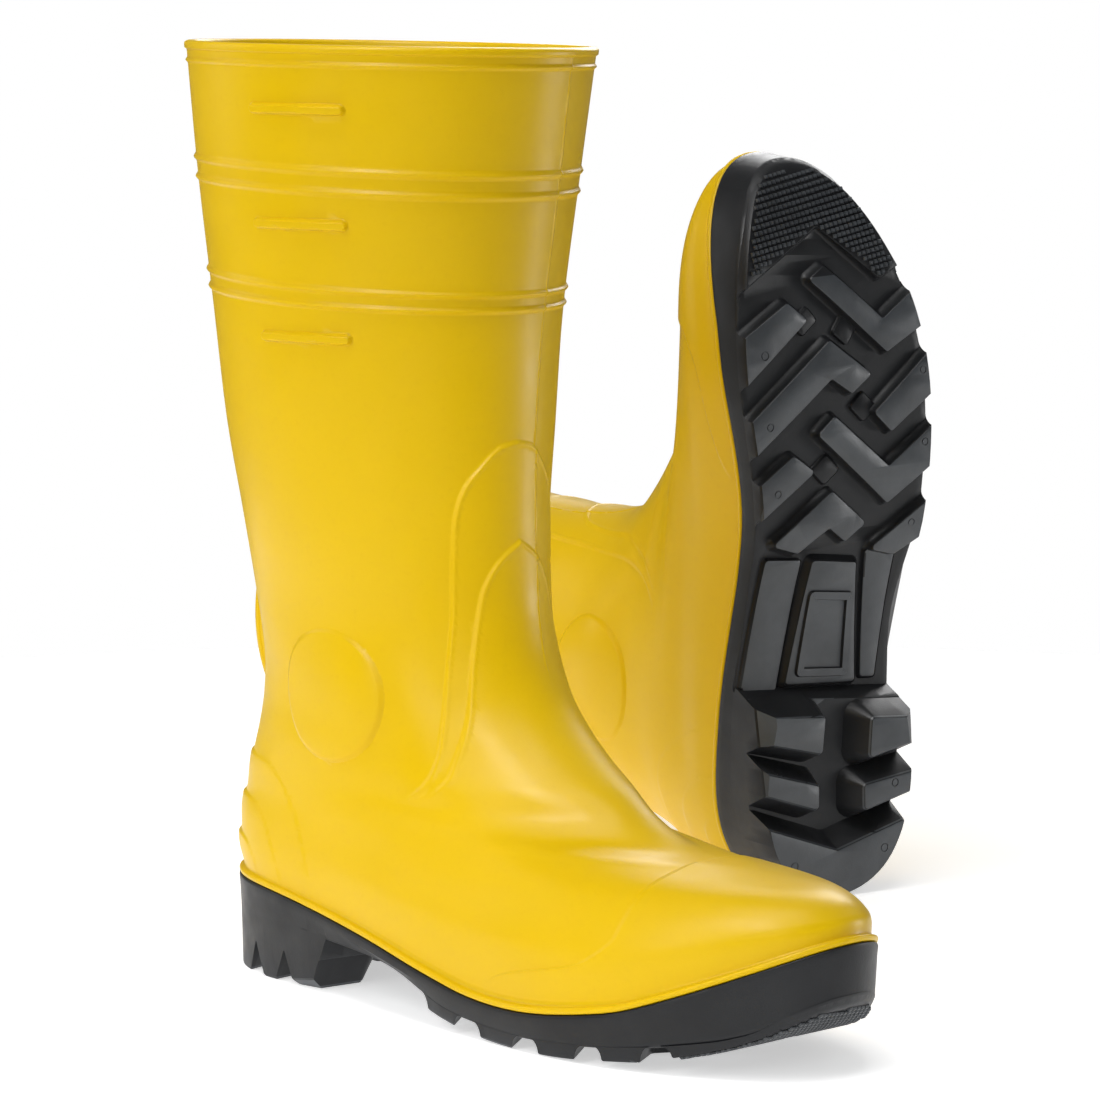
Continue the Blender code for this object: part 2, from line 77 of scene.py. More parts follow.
# The shell's rings from the sole to the rim: (x, z) at the back and at the front, how far a ring
# dips with the sole's wall, y of both ends, and half-widths on the outer and the inner side.
SEAT_INSET, SEAT_BACK, SEAT_FRONT, SEAT_RISE = 2.4, 38.5, 47.5, 3.0
RINGS = (
    ((1.5, 47), (304, 56), 0.5, (0, 4), (70, 61, 48.6, 50, 58, 60, 64), (61, 44.5, 36, 47, 58)),
    ((2, 58), (292, 63.5), 0.2, (0, 4), (68, 59, 47.5, 46, 50, 50, 48), (59, 43.5, 35.5, 39, 46)),
    ((4, 70), (260, 67), 0.05, (0.5, 4), (64, 55, 46.5, 44, 43, 33, 27), (54, 43.5, 36, 33, 27)),
    ((7.5, 83), (227, 69), 0, (1, 4), (60, 53, 46, 42.5, 42, 31, 25), (50, 42.7, 35.5, 32, 25)),
    ((11, 95), (199, 81.5), 0, (1, 3), (56, 49, 45, 42, 42, 36, 32), (46, 41.5, 36, 32.5, 29)),
    ((14, 108), (173, 98), 0, (1, 2), (52, 46, 43, 41, 42, 41, 38), (43, 41, 37, 36, 35)),
    ((15.5, 124), (154.5, 117), 0, (0.5, 1), (48, 44, 42, 41.3, 42, 42, 41), (42, 41, 40.5, 40, 40)),
    ((11.5, 147), (145.5, 142), 0, (0.3, 0.3), (45, 44, 43, 42.6, 43, 44, 44), (44, 43, 42.6, 43, 44)),
    ((7.5, 178), (142, 177), 0, (0.5, 0.5), (49,) * 7, (49,) * 5),
    ((2, 212), (141.5, 212), 0, (1, 1), (54.6,) * 7, (54.6,) * 5),
    ((-0.5, 255.5), (142, 254.5), 0, (1, 1), (60.6,) * 7, (60.6,) * 5),
    ((-4.5, 304), (147.5, 302), 0, (1, 1), (67,) * 7, (67,) * 5),
    ((-8, 353), (154.5, 349), 0, (1, 1), (72,) * 7, (72,) * 5),
)

# plan outlines of the tread's blocks
HEEL_BLOCKS = (
    ((23, 1.5), (30.5, -34.3), (17, -36), (-4, -20), (-8, 0), (-4, 20), (18, 36), (39, 40)),
    ((48.5, -13), (50.8, -44), (43.2, -44), (37.5, -13)),
    ((52, 10.5), (63.5, 44), (54.5, 44), (41.5, 10.8)),
    ((76.5, -17.5), (72.5, -48), (64, -48), (59.5, -16)),
    ((80.5, 6.7), (85, 44), (75.8, 44), (65, 8.6)),
)
HEEL_OUTLINE = ((-8, 0), (-4, -20), (16.5, -36), (30, -42), (50, -46), (78.5, -49), (83, -17), (86.5, 8),
                (91, 44), (64, 46), (50, 46), (39, 44), (18, 38), (-4, 20))
LUGS = (
    ((261, 9), (266, 0), (242, -27), (257, -51), (240, -53), (228, -28)),
    ((239, 47), (253, 21), (245, 11), (219, 47)),
    ((205, 45), (236, 1), (220, -20), (213, -9), (220, 1), (189, 45)),
    ((204, -20), (231, -56), (213, -57), (195, -29)),
    ((198, 9), (205, 0), (181, -28), (199, -56), (182, -56), (165, -28)),
    ((178, 42), (191, 21), (183, 10), (163, 40)),
    ((154, 30), (174, 1), (158, -18), (151, -8), (158, 1), (149, 16)),
    ((146, -21), (166, -53), (149, -50), (142, -35)),
)
TOE_PAD = ((257, 46), (277, 40), (294, 30), (305, 18), (310, 6), (310, -4), (307, -16), (296, -29),
           (279, -40), (265, -44), (258, -27), (281, 0))


def hermite(t):
    """Weights of value and slope at the start and at the end, for t from 0 to 1."""
    return 2 * t**3 - 3 * t**2 + 1, t**3 - 2 * t**2 + t, 3 * t**2 - 2 * t**3, t**3 - t**2


def curve(knots, values, at):
    """A smooth curve through the values at the knots, read at the given places."""
    knots = np.asarray(knots, float)
    values = np.asarray(values, float)
    slopes = np.gradient(values, knots, axis=0)
    at = np.clip(np.asarray(at, float), knots[0], knots[-1])
    i = np.clip(np.searchsorted(knots, at, side="right") - 1, 0, len(knots) - 2)
    span = knots[i + 1] - knots[i]
    t = (at - knots[i]) / span
    if values.ndim > 1:
        span, t = span[..., None], t[..., None]
    v0, s0, v1, s1 = hermite(t)
    return v0 * values[i] + s0 * span * slopes[i] + v1 * values[i + 1] + s1 * span * slopes[i + 1]


def height(profile, x):
    """Height of a profile, given as (x, z) pairs, at x."""
    knots, values = zip(*profile)
    return curve(knots, values, x)


def smooth(t):
    """A soft step from 0 to 1."""
    t = np.clip(t, 0, 1)
    return t * t * (3 - 2 * t)


def bell(t):
    """A rounded bump of height 1 that falls to 0 at t = -1 and 1."""
    return smooth(1 - np.abs(t))


def turns(count):
    """Angles of a full turn, evenly spaced."""
    return np.arange(count) * 2 * math.pi / count


def half_width(outer, inner, angle):
    """Half-width of a closed ring; the outer side comes first, from the back to the toe."""
    round_trip = np.array(list(outer) + list(inner)[::-1], float)
    count = len(round_trip)
    padded = np.concatenate([round_trip[-2:], round_trip, round_trip[:3]])
    knots = np.arange(-2, count + 3) * 2 * math.pi / count
    return curve(knots, padded, np.mod(angle, 2 * math.pi))


def sole_ring(inset, angle):
    """Plan points (x, y) of the sole's outline, moved in by the inset."""
    v = (1 - np.cos(angle)) / 2
    x = SOLE_BACK + inset + (SOLE_FRONT - SOLE_BACK - 2 * inset) * v
    width = half_width(SOLE_OUTER, SOLE_INNER, angle) - inset
    return x, SOLE_TOE_SHIFT * smooth(v) - width * np.sin(angle)


def toe_room(x):
    """How far the lining stands back from the steel toe cap."""
    return CAP_ROOM * smooth((x - 206) / 20)


def sole_level(angle, inset, profile, lift=0.0, inside_cap=False):
    """Ring on the sole's outline at the height of a profile plus a lift."""
    x, y = sole_ring(inset, angle)
    if inside_cap:
        x, y = sole_ring(inset + toe_room(x), angle)
    return np.stack([x, y, height(profile, x) + lift], -1)


def ring_table():
    """The rings as rows of numbers, below them the seat on the sole's wall."""
    inset = SEAT_INSET
    first = [SOLE_BACK + inset, SEAT_BACK, SOLE_FRONT - inset, SEAT_FRONT, 1.0, 0, SOLE_TOE_SHIFT]
    first += [w - inset for w in SOLE_OUTER] + [w - inset for w in SOLE_INNER[::-1]]
    return np.array([first] + [[*back, *front, dip, *shift, *outer, *inner[::-1]]
                               for back, front, dip, shift, outer, inner in RINGS], float)


TABLE = ring_table()
TOP = len(TABLE) - 1
RIM = TOP - 0.03           # where the outside ends and the rolled rim begins
SHAFT = 9.5                # where the shaft begins, over the ankle


def back_height(u):
    """Height of the shell's back at u."""
    return curve(np.arange(len(TABLE)), TABLE[:, 1], u)


def shell_point(u, angle):
    """Points on the outside of the shell: u runs from the lip (0) to the rim (TOP)."""
    u, angle = np.broadcast_arrays(np.asarray(u, float), np.asarray(angle, float))
    row = curve(np.arange(len(TABLE)), TABLE, u)
    v = (1 - np.cos(angle)) / 2
    x = row[..., 0] + (row[..., 2] - row[..., 0]) * v
    count = TABLE.shape[1] - 7
    place = np.mod(angle, 2 * math.pi) / (2 * math.pi) * count
    i = np.floor(place).astype(int)
    t = place - i
    w = [np.take_along_axis(row, (7 + (i + k) % count)[..., None], -1)[..., 0] for k in (-1, 0, 1, 2)]
    v0, s0, v1, s1 = hermite(t)
    width = v0 * w[1] + s0 * ((w[2] - w[0]) / 2) + v1 * w[2] + s1 * ((w[3] - w[1]) / 2)
    y = row[..., 5] + (row[..., 6] - row[..., 5]) * smooth(v) - width * np.sin(angle)
    level = SEAT_BACK + (SEAT_FRONT - SEAT_BACK) * (x - TABLE[0, 0]) / (TABLE[0, 2] - TABLE[0, 0])
    z = row[..., 1] + (row[..., 3] - row[..., 1]) * v
    z = z + row[..., 4] * (height(WALL_TOP, x) + SEAT_RISE - level)
    return np.stack([x, y, z], -1)


def unit(v):
    return v / np.maximum(np.linalg.norm(v, axis=-1, keepdims=True), 1e-12)


def normal_of(points, u, angle, step_u, step_a):
    """Outward normals of a surface given as a function of u and angle."""
    across = points(u, angle + step_a) - points(u, angle - step_a)
    upward = points(np.clip(u + step_u, 0, TOP), angle) - points(np.clip(u - step_u, 0, TOP), angle)
    return unit(np.cross(across, upward))


def shell_offset(u, angle, inset):
    """The shell's plain surface moved inwards."""
    return shell_point(u, angle) - normal_of(shell_point, u, angle, 0.02, 0.02) * np.asarray(inset)[..., None]


# ---- relief moulded into the shell

BANDS = (310.6, 303.4, 269.2, 262.8)          # height, at the back, of the ribs round the shaft
RIB_DROP = ((200, 0), (266, 8), (306, 5), (341, 0))   # how far a rib at each height drops to the front
BAND_HALF = 1.7
BEAD, BEAD_RISE, BEAD_HALF = 345.8, 0.8, 1.3  # the bead under the rim
ROLL = 349.6                                  # where the rim begins to roll out
BARS = ((329.4, 96), (287.3, 92.5), (245.6, 89.5))   # height at the back, and x of the middle
BAR_HALF = 20.5
PADS = ((85, 112.5, 28, 25), (80, 121, 28, 24))      # ankle pads, outer and inner: centre and radii
SHIN = ((0, 207.5), (8.7, 205.5), (14.3, 200), (21.6, 191), (24.2, 183), (25.5, 167), (26, 144),
        (28.3, 124), (31.1, 104), (33.5, 93), (37.1, 85), (43, 79), (50, 75))
INSTEP = ((0, 171.5), (9, 165), (14.7, 156), (17.7, 144), (20.1, 130), (24.1, 107), (28, 95), (31, 87),
          (36, 81), (42, 76))
HEEL_RIDGES = (
    ((0, 83), (20, 82.5), (33, 81.5), (41, 78), (52, 68), (61, 53), (66, 36), (67, 20)),
    ((0, 66.5), (16, 66), (26, 64.5), (33, 60), (41, 49), (46, 34), (47, 20)),
    ((0, 51.5), (12, 51), (20, 49), (26, 43), (29, 34), (30, 20)),
)
TOE_EDGE = ((10, 180), (22, 182), (26, 190), (30, 206), (32, 216), (35, 226), (39, 233), (44, 239), (50, 241),
            (60, 242), (80, 242))


def from_line(line, px, py):
    """Signed distance from an open polyline: positive on its left-hand side."""
    best = np.full(px.shape, 1e9)
    sign = np.ones(px.shape)
    for (ax, ay), (bx, by) in zip(line[:-1], line[1:]):
        dx, dy = bx - ax, by - ay
        t = np.clip(((px - ax) * dx + (py - ay) * dy) / (dx * dx + dy * dy), 0, 1)
        ox, oy = px - ax - t * dx, py - ay - t * dy
        d = np.hypot(ox, oy)
        side = np.where(dx * oy - dy * ox >= 0, 1.0, -1.0)
        closer = d < best - 1e-9
        best, sign = np.where(closer, d, best), np.where(closer, side, sign)
    return best * sign


def spline(line, count=40):
    """A polyline rounded through its points."""
    line = np.array(line, float)
    along = np.concatenate([[0], np.cumsum(np.hypot(*np.diff(line, axis=0).T))])
    return curve(along, line, np.linspace(0, along[-1], count))


def relief(u, angle):
    """How far the moulded details stand out of the shell's plain surface, in millimetres."""
    p = shell_point(u, angle)
    x, y, z = p[..., 0], p[..., 1], p[..., 2]
    back = back_height(u)
    out = np.zeros(x.shape)
    along_ribs = back + np.interp(back, *zip(*RIB_DROP)) * (1 - np.cos(angle)) / 2
    for level in BANDS:
        out += bell((along_ribs - level) / BAND_HALF)
    out += BEAD_RISE * bell((back - BEAD) / BEAD_HALF)
    out += 0.8 * smooth((back - ROLL) / 0.8)
    for level, middle in BARS:
        along = (x - middle) / 0.955
        inside = BAR_HALF - np.abs(along)
        across = np.hypot(back - level, np.maximum(2.0 - inside, 0))
        shape = smooth((2.3 - across) / 1.1) * (inside > -1)
        out += (1.5 + 0.7 * smooth((along + 12) / 30)) * shape
    # the mould's parting line down the front and the back
    seam = curve((70, 149, 178, 207, 237, 265, 300, 350), (2, 9, 11, 12, 15, 18, 20, 20), z)
    front = x > TABLE[0, 0] + 60
    out += np.where(front, 0.32 * bell((y - seam) / 0.75) * smooth((z - 112) / 25), 0)
    out += np.where(front, 0, 0.3 * bell(y / 0.75) * smooth((z - 88) / 8))
    # ankle pads
    for (cx, cz, rx, rz), side in zip(PADS, (y < 0, y >= 0)):
        r = np.hypot((x - cx) / rx, (z - cz) / rz)
        dome = 2.3 * np.sqrt(np.clip(1 - r * r, 0, 1)) ** 1.3
        dome = dome * np.clip(0.75 + 0.8 * ((x - cx) / rx - 0.6 * (z - cz) / rz), 0.1, 1.6)
        edge = 0.6 * smooth((1 - r) * 14)
        out += np.where(side & (u < SHAFT), (dome + edge) * smooth((1.04 - r) * 20), 0)
    # stepped panels over the shin and the instep
    round_front = 62 * np.abs(np.arctan2(y - 1.5, x - 77))
    fade = smooth((z - 76) / 10) * (u > 1.5)
    for line, rise in ((SHIN_LINE, 0.85), (INSTEP_LINE, 0.75)):
        d = from_line(line, round_front, z)
        d = np.where(round_front > 75, -20, d)
        out += fade * (rise * smooth(d / 1.7 + 0.5) + 0.22 * bell((d - 1.1) / 1.1))
    # ridges that wrap the heel
    for line in HEEL_LINES:
        d = from_line(line, x - 8, z)
        rise = 0.2 + 1.05 * smooth((34 - x) / 28)
        out += np.where(x < 90, rise * (smooth(d / 1.9 + 0.5) - smooth((d - 2) / 13)), 0)
    # the toe, over the steel cap
    d = x - height(TOE_EDGE, z)
    out += 0.9 * smooth(d / 3.5 + 0.5) * (1 - smooth((d - 8) / 60)) * smooth(u / 0.6)
    return out


SHIN_LINE = spline(SHIN)[::-1]
INSTEP_LINE = spline(INSTEP)[::-1]
HEEL_LINES = [spline(line)[::-1] for line in HEEL_RIDGES]


def detailed(u, angle):
    """The shell's outside with its moulded details."""
    return shell_offset(u, angle, -relief(u, angle))


# ---- mesh helpers

def cap_faces(start, count):
    """Faces that close a ring by joining its outer side to its inner side."""
    faces = [(start, start + 1, start + count - 1)]
    for j in range(1, count // 2 - 1):
        faces.append((start + j, start + j + 1, start + count - j - 1, start + count - j))
    half = count // 2
    faces.append((start + half - 1, start + half, start + half + 1))
    return faces


def loft(rings, closed=True):
    """Vertices and faces through rings of equal count, with both ends closed."""
    count = len(rings[0])
    faces = cap_faces(0, count) if closed else []
    for k in range(len(rings) - 1):
        a, b = k * count, (k + 1) * count
        faces += [(a + j, a + (j + 1) % count, b + (j + 1) % count, b + j) for j in range(count)]
    if closed:
        faces += cap_faces((len(rings) - 1) * count, count)
    return np.concatenate(rings), faces


def mesh_of(verts, faces, name):
    mesh = bpy.data.meshes.new(name)
    mesh.from_pydata([tuple(v) for v in verts], [], [tuple(int(i) for i in f) for f in faces])
    mesh.validate(verbose=False)
    return mesh


def add(name, data):
    made = bpy.data.objects.new(name, data)
    bpy.context.scene.collection.objects.link(made)
    return made


def place(mesh, name, side, body, slot, look, replaces=(), sharp=None, normals=None, second=None):
    """Puts a copy of a mesh, made in millimetres, on one boot and on its CAD body."""
    turn, shift = SIDES[side]
    made = mesh.copy()
    made.name = name
    co = np.empty(len(made.vertices) * 3)
    made.vertices.foreach_get("co", co)
    co = (co.reshape(-1, 3) @ turn.T + shift) * MM
    made.vertices.foreach_set("co", co.astype(np.float32).ravel())
    if np.linalg.det(turn) < 0:
        made.flip_normals()
    made.polygons.foreach_set("use_smooth", np.ones(len(made.polygons), bool))
    if sharp is not None:
        made.set_sharp_from_angle(angle=math.radians(sharp))
    if normals is not None:
        made.normals_split_custom_set_from_vertices([tuple(n) for n in unit(normals @ turn.T)])
    # the solver leaves an empty slot in the sole, and clearing it resets the faces' own slots
    chosen = np.zeros(len(made.polygons), np.int32)
    made.polygons.foreach_get("material_index", chosen)
    made.materials.clear()
    for material in filter(None, (look, second)):
        made.materials.append(material)
    made.polygons.foreach_set("material_index", chosen)
    made.update()
    piece = add(name, made)
    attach(piece, body)
    if replaces:
        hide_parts(*replaces)
    return piece


# ---- the shell

COLUMNS = 176


def outer_grid(angles_open):
    """The shell's outside as (u, angle) points and faces, finer where there is relief."""
    per_mm = 1 / 46        # u that a millimetre of the upper shaft takes up
    rows = list(np.linspace(0, 8, 84)) + list(np.linspace(8, RIM, 86))
    places = np.linspace(9, TOP, 2001)
    backs = back_height(places)
    key = []
    for level, reach in [(band, BAND_HALF) for band in BANDS] + [(BEAD, BEAD_HALF)]:
        at = np.interp(level, backs, places)
        key += [at + reach * s * per_mm for s in (-1.15, -0.8, -0.55, -0.3, 0, 0.3, 0.55, 0.8, 1.15)]
    lip = np.interp(ROLL, backs, places)
    key += [lip + s * per_mm for s in (-0.2, 0.1, 0.4, 0.7, 1.0)]
    key = sorted(key)
    rows = [r for r in rows if min(abs(r - k) for k in key) > 0.6 * per_mm or r in (rows[0], rows[-1])]
    rows = np.array(sorted(rows + [k for k in key if k < RIM - 0.005]))

    # rows follow the ribs, which drop towards the front
    level = back_height(rows)[:, None]
    back = level
    for _ in range(8):
        back = level - np.interp(back, *zip(*RIB_DROP)) * (1 - np.cos(angles_open)) / 2
    shaft = ((rows > SHAFT) & (rows < TOP - 0.25))[:, None]
    leaning = np.where(shaft, np.interp(back, backs, places), rows[:, None])
    bm = bmesh.new()
    grid = [[bm.verts.new((a, u, 0)) for a, u in zip(angles_open, row)] for row in leaning]
    for low, high in zip(grid[:-1], grid[1:]):
        for j in range(len(angles_open) - 1):
            bm.faces.new((low[j], low[j + 1], high[j + 1], high[j]))
    low_u, high_u = rows[0] + 1e-6, rows[-1] - 1e-6
    for finest, tolerance in ((1.9, 0.05), (1.0, 0.045), (0.62, 0.06)):
        bm.verts.index_update()
        bm.edges.index_update()
        co = np.array([v.co[:2] for v in bm.verts])
        ends = np.array([(e.verts[0].index, e.verts[1].index) for e in bm.edges])
        a, b = co[ends[:, 0]], co[ends[:, 1]]
        rise = relief(co[:, 1], co[:, 0])
        error = np.zeros(len(ends))
        for t in (0.25, 0.5, 0.75):
            mid = a + (b - a) * t
            error = np.maximum(error, np.abs(relief(mid[:, 1], mid[:, 0])
                                             - (rise[ends[:, 0]] * (1 - t) + rise[ends[:, 1]] * t)))
        length = np.linalg.norm(shell_point(a[:, 1], a[:, 0]) - shell_point(b[:, 1], b[:, 0]), axis=-1)
        wanted = (error > tolerance) & (length > finest)
        # the first and the last row keep their vertices, since they meet other rings
        end_row = (np.maximum(a[:, 1], b[:, 1]) < low_u) | (np.minimum(a[:, 1], b[:, 1]) > high_u)
        free = (length > finest) & ~end_row
        edges = {e for face in bm.faces if any(wanted[e.index] for e in face.edges)
                 for e in face.edges if free[e.index]}
        bmesh.ops.subdivide_edges(bm, edges=sorted(edges, key=lambda e: e.index), cuts=1, use_grid_fill=True)
    bm.verts.index_update()
    co = np.array([v.co[:2] for v in bm.verts])
    faces = [tuple(v.index for v in face.verts) for face in bm.faces]
    bm.free()
    return co[:, 1], co[:, 0], faces


def shell_mesh():
    """The whole shell: seat in the sole, lip, outside, rolled rim and inside."""
    ring = turns(COLUMNS)
    ones = np.ones(COLUMNS)
    u, angle, faces = outer_grid(np.arange(COLUMNS + 1) * 2 * math.pi / COLUMNS)
    verts = detailed(u, angle)
    normals = normal_of(detailed, u, angle, 0.003, 0.002)
    edge = (u < 1e-6) | (u > RIM - 1e-4)
    normals[edge] = 0

    seat = WALL + GAP
    lower = [sole_level(ring, seat, CUP_FLOOR, GAP)]
    lower += [sole_level(ring, inset, WALL_TOP, lift) for inset, lift in (
        (seat, GAP), (0.9, GAP), (0.35, GAP + 0.25), (0.1, GAP + 0.8), (0.05, LIP - 1.0), (0.3, LIP - 0.35),
        (0.8, LIP), (1.5, LIP + 0.1))]
    lower.append(detailed(ones * 0, ring))
    upper = [detailed(ones * RIM, ring)]
    for t in np.linspace(0, 1, 8)[1:]:
        inset = -0.8 + (SHELL + 0.9) * (1 - math.cos(math.pi * t)) / 2
        crest = shell_offset(ones * TOP, ring, ones * inset)
        crest[:, 2] -= 1.4 * (1 - math.sin(math.pi * t) ** 0.8)
        upper.append(crest)
    for r in (TOP - 0.2, TOP - 0.4, *np.linspace(12, 8, 8), *np.linspace(7.5, 0.3, 16)):
        upper.append(shell_offset(ones * r, ring, ones * SHELL))
    foot = seat + SHELL
    upper += [sole_level(ring, foot, WALL_TOP, 1.0), sole_level(ring, foot, CUP_FLOOR, GAP + SHELL - 0.2)]
    all_verts, all_faces, all_normals = [verts], list(faces), [normals]
    start = len(verts)
    for rings, first in ((lower, True), (upper, False)):
        v, f = loft(rings, closed=False)
        f = f + cap_faces(0 if first else (len(rings) - 1) * COLUMNS, COLUMNS)
        all_faces += [tuple(i + start for i in face) for face in f]
        all_verts.append(v)
        all_normals.append(np.zeros_like(v))
        start += len(v)
    return weld(np.concatenate(all_verts), all_faces, np.concatenate(all_normals))


def weld(verts, faces, normals):
    """Joins vertices that share a place, and turns every face outwards."""
    _, first, inverse = np.unique(np.round(verts, 3), axis=0, return_index=True, return_inverse=True)
    inverse = inverse.ravel()
    merged = np.zeros((len(first), 3))
    np.add.at(merged, inverse, normals)
    clean = []
    for face in faces:
        f = [int(inverse[i]) for i in face]
        f = [i for k, i in enumerate(f) if i != f[k - 1]]
        if len(f) > 2:
            clean.append(tuple(f))
    mesh = mesh_of(verts[first], clean, "piece")
    bm = bmesh.new()
    bm.from_mesh(mesh)
    bmesh.ops.recalc_face_normals(bm, faces=bm.faces)
    bm.to_mesh(mesh)
    bm.free()
    return mesh, merged


# ---- the sole

SOLE_COLUMNS = 144
LUG_CORNER = 1.6           # radius of a block's corners in plan
CUT_EVERY = 9              # blocks are cut across at this pitch, to follow the curve of the foot
SHANK_BACK, SHANK_FRONT, PAD_BACK = 84, 150, 256
WINGS = (
    ((148, 30), (145.5, 11), (91, 18.5), (87, 22), (88, 34), (94, 37)),
    ((146, -21.5), (143, -38), (120, -35.5), (88, -33), (89, -25)),
)
# the shank's plate and the frame on it, and the low bridges between the lugs
SHANK = ((88, -21.5), (141, -17), (145, 6.5), (92, 15.5))
FRAME = ((92, -16.5), (128, -16), (131.5, 6.5), (95.5, 10.5))
BRIDGES = (
    ((246, -9), (240, -16), (232, -10), (238, -3)),
    ((224, 14), (217, 7), (209, 16), (216, 23)),
    ((213, -17), (206, -24), (200, -17), (207, -10)),
    ((189, 2), (182, -5), (176, 3), (183, 10)),
    ((250, 9), (244, 4), (238, 12), (244, 18)),
)
# ejector marks: x, y and radius
PINS = ((249, -43, 1.7), (219, -46, 1.7), (189, -46.5, 1.7), (155, -42, 1.7), (233, 34, 1.9), (204, 33, 1.7),
        (176, 29, 1.7), (20, -23, 1.9), (20, 24, 1.9), (47, -29, 1.8), (58.5, 30, 1.8), (72, -31, 1.8),
        (82.5, 27, 1.8))


def tread(x):
    return np.maximum(height(TREAD, x), 0)


def underside(x):
    return height(UNDERSIDE, x)


def off_underside(lift):
    """A profile that follows the underside at a fixed distance."""
    return lambda x: underside(x) + lift


def rounded(corners, radius, inner=None):
    """A plan outline, anticlockwise, with round corners; the hollow ones can have their own size."""
    corners = np.array(corners, float)
    if np.sum(corners[:, 0] * np.roll(corners[:, 1], -1) - corners[:, 1] * np.roll(corners[:, 0], -1)) < 0:
        corners = corners[::-1]
    count = len(corners)
    ahead = np.roll(corners, -1, 0) - corners
    length = np.hypot(*ahead.T)
    turn = np.roll(ahead, 1, 0)[:, 0] * ahead[:, 1] - np.roll(ahead, 1, 0)[:, 1] * ahead[:, 0]
    size = np.where(turn > 0, radius, radius if inner is None else inner)
    cosine = -np.sum(np.roll(ahead, 1, 0) * ahead, -1) / (np.roll(length, 1) * length)
    reach = size * np.sqrt((1 + cosine) / np.maximum(1 - cosine, 1e-6))
    reach = np.minimum(reach, np.minimum(length, np.roll(length, 1)) * 0.45)
    out = []
    for i in range(count):
        at, after = corners[i], corners[(i + 1) % count]
        a, b = at + unit(corners[i - 1] - at) * reach[i], at + unit(after - at) * reach[i]
        weight = math.sqrt(max((1 - cosine[i]) / 2, 0))
        for t in (0, 0.2, 0.4, 0.6, 0.8, 1):
            w = (1 - t)**2 + 2 * t * (1 - t) * weight + t * t
            out.append(((1 - t)**2 * a + 2 * t * (1 - t) * weight * at + t * t * b) / w)
        end = after + unit(at - after) * reach[(i + 1) % count]
        steps = int(length[i] // 6)
        out += [b + (end - b) * k / (steps + 1) for k in range(1, steps + 1)]
    return np.array(out)


def spread(outline, by):
    """A plan outline, anticlockwise, moved outwards."""
    before, after = unit(outline - np.roll(outline, 1, 0)), unit(np.roll(outline, -1, 0) - outline)
    n1, n2 = np.stack([before[:, 1], -before[:, 0]], -1), np.stack([after[:, 1], -after[:, 0]], -1)
    miter = (n1 + n2) / np.maximum(1 + np.sum(n1 * n2, -1, keepdims=True), 0.35)
    return outline + miter * by


def bridge(bm, rings):
    """Faces between each ring of vertices and the next."""
    for low, high in zip(rings[:-1], rings[1:]):
        for j in range(len(low)):
            k = (j + 1) % len(low)
            bm.faces.new((low[j], low[k], high[k], high[j]))


def lug(corners, root, face, flare, hollow=True, bevel=0.5):
    """A block between two heights that follow the foot; its sides run out as a hollow curve, or straight."""
    outline = rounded(corners, LUG_CORNER)
    stops = (0, 0.06, 0.16, 0.3, 0.5, 0.75, 0.92) if hollow else (0, 0.92)
    shape = [(s, flare * (1 - math.sqrt(1 - (1 - s)**2)) if hollow else flare * (1 - s)) for s in stops]
    # each level: its plan, how far it is from root to face, and what it lies short of the face
    levels = [(spread(rounded(corners, LUG_CORNER, LUG_CORNER + 1.5 * out), out), s, 0) for s, out in shape]
    levels += [(spread(outline, -bevel * 0.05), 1, bevel), (spread(outline, -bevel * 0.4), 1, bevel * 0.35),
               (spread(outline, -bevel), 1, 0)]
    bm = bmesh.new()
    rings = [[bm.verts.new((x, y, k)) for x, y in plan] for k, (plan, _, _) in enumerate(levels)]
    bm.faces.new(rings[0])
    bm.faces.new(rings[-1])
    bridge(bm, rings)
    xs = outline[:, 0]
    start = math.ceil((xs.min() - flare) / CUT_EVERY) * CUT_EVERY + 0.41
    for cut in np.arange(start, xs.max() + flare, CUT_EVERY):
        bmesh.ops.bisect_plane(bm, geom=bm.verts[:] + bm.edges[:] + bm.faces[:], plane_co=(cut, 0, 0),
                               plane_no=(1, 0, 0))
    steps = np.arange(len(levels))
    for v in bm.verts:
        s = np.interp(v.co.z, steps, [level[1] for level in levels])
        lift = np.interp(v.co.z, steps, [level[2] for level in levels])
        low, high = float(root(v.co.x)), float(face(v.co.x))
        v.co.z = low + (high + lift - low) * s if lift == 0 else high + lift
    return bm


def border(corners, width, root, face):
    """A raised rim of even width round a panel."""
    edge = rounded(corners, 2.2)
    bm = bmesh.new()
    rings = [[bm.verts.new((x, y, float(height(x)))) for x, y in spread(edge, by)]
             for by, height in ((0.7, root), (0, face), (-width, face), (-width - 0.5, root))]
    bridge(bm, rings + rings[:1])
    return bm


def solid(bm):
    """An object from a closed body, faces turned outwards."""
    bmesh.ops.recalc_face_normals(bm, faces=bm.faces)
    mesh = bpy.data.meshes.new("solid")
    bm.to_mesh(mesh)
    bm.free()
    return add("solid", mesh)


def combine(base, tool, operation):
    """Base united with, cut by or kept within a tool, which is used up."""
    modifier = base.modifiers.new("combine", "BOOLEAN")
    modifier.operation, modifier.solver, modifier.object = operation, "MANIFOLD", tool
    graph = bpy.context.evaluated_depsgraph_get()
    mesh = bpy.data.meshes.new_from_object(base.evaluated_get(graph))
    base.modifiers.remove(modifier)
    old, base.data = base.data, mesh
    bpy.data.meshes.remove(old)
    bpy.data.objects.remove(tool)
    return base


def ring_body(rings):
    """A closed body through rings of points."""
    verts, faces = loft(rings)
    bm = bmesh.new()
    made = [bm.verts.new(v) for v in verts]
    for face in faces:
        bm.faces.new([made[i] for i in face])
    return bm


